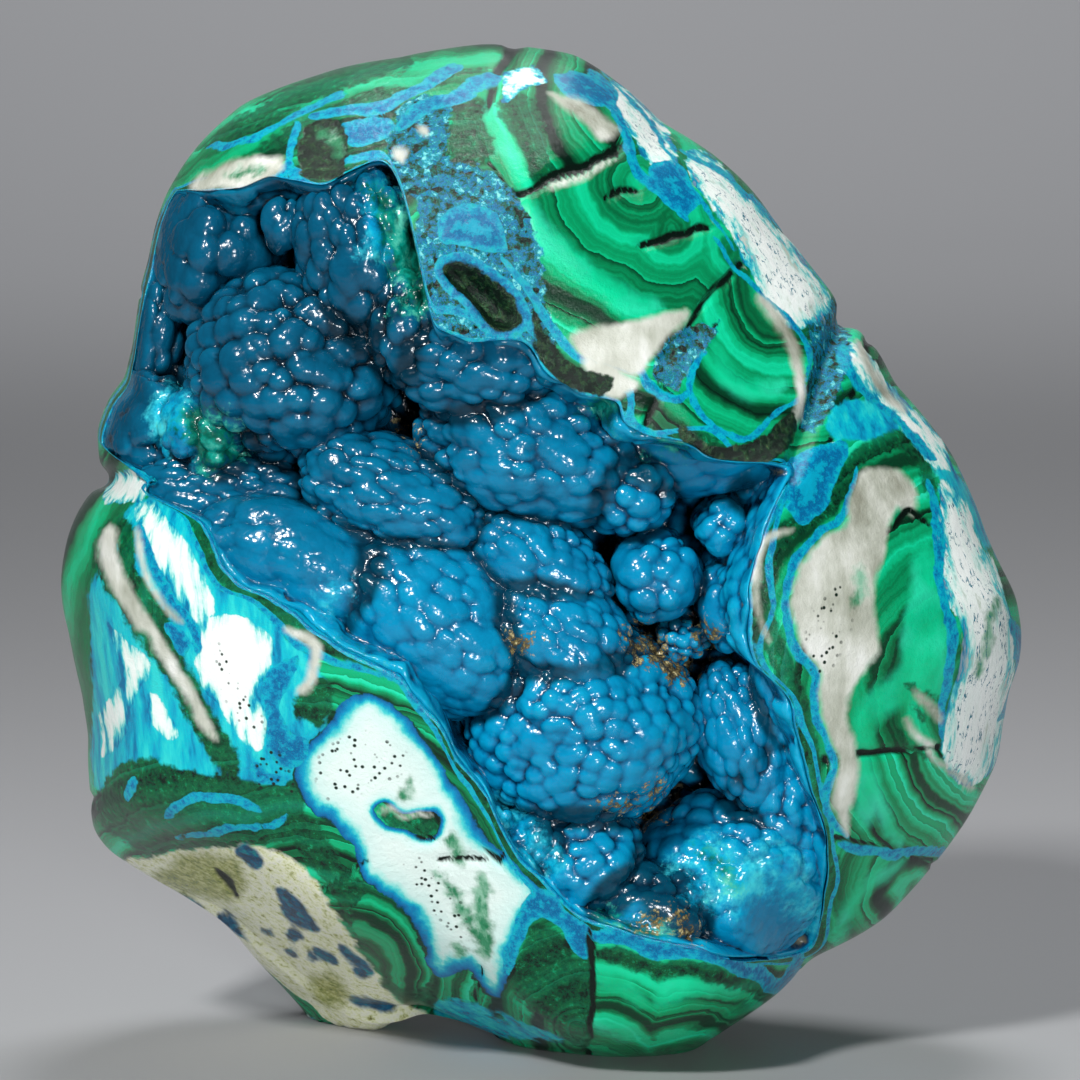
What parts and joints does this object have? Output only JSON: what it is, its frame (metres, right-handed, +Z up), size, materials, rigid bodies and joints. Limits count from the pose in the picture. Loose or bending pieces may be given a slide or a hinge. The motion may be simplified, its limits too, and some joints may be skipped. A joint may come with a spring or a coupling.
{
  "type": "polished chrysocolla and malachite specimen",
  "caption": "Freeform polished nodule of green banded malachite and white and turquoise chrysocolla, with an open vug lined by a grape-like blue crust",
  "frame": {"origin": "middle of the bounds at the base, on the plane it rests on", "axes": "+Z up, -Y the open polished face, +X the face's right"},
  "size_m": [0.0962, 0.0541, 0.1006],
  "materials": {
    "polished_malachite": "polished banded green stone with white and turquoise patches",
    "blue_chrysocolla": "glossy grape-like blue crust"
  },
  "bodies": {
    "root": {"polished_nodule": "polished_malachite", "botryoidal_crust": "blue_chrysocolla"}
  },
  "joints": []
}
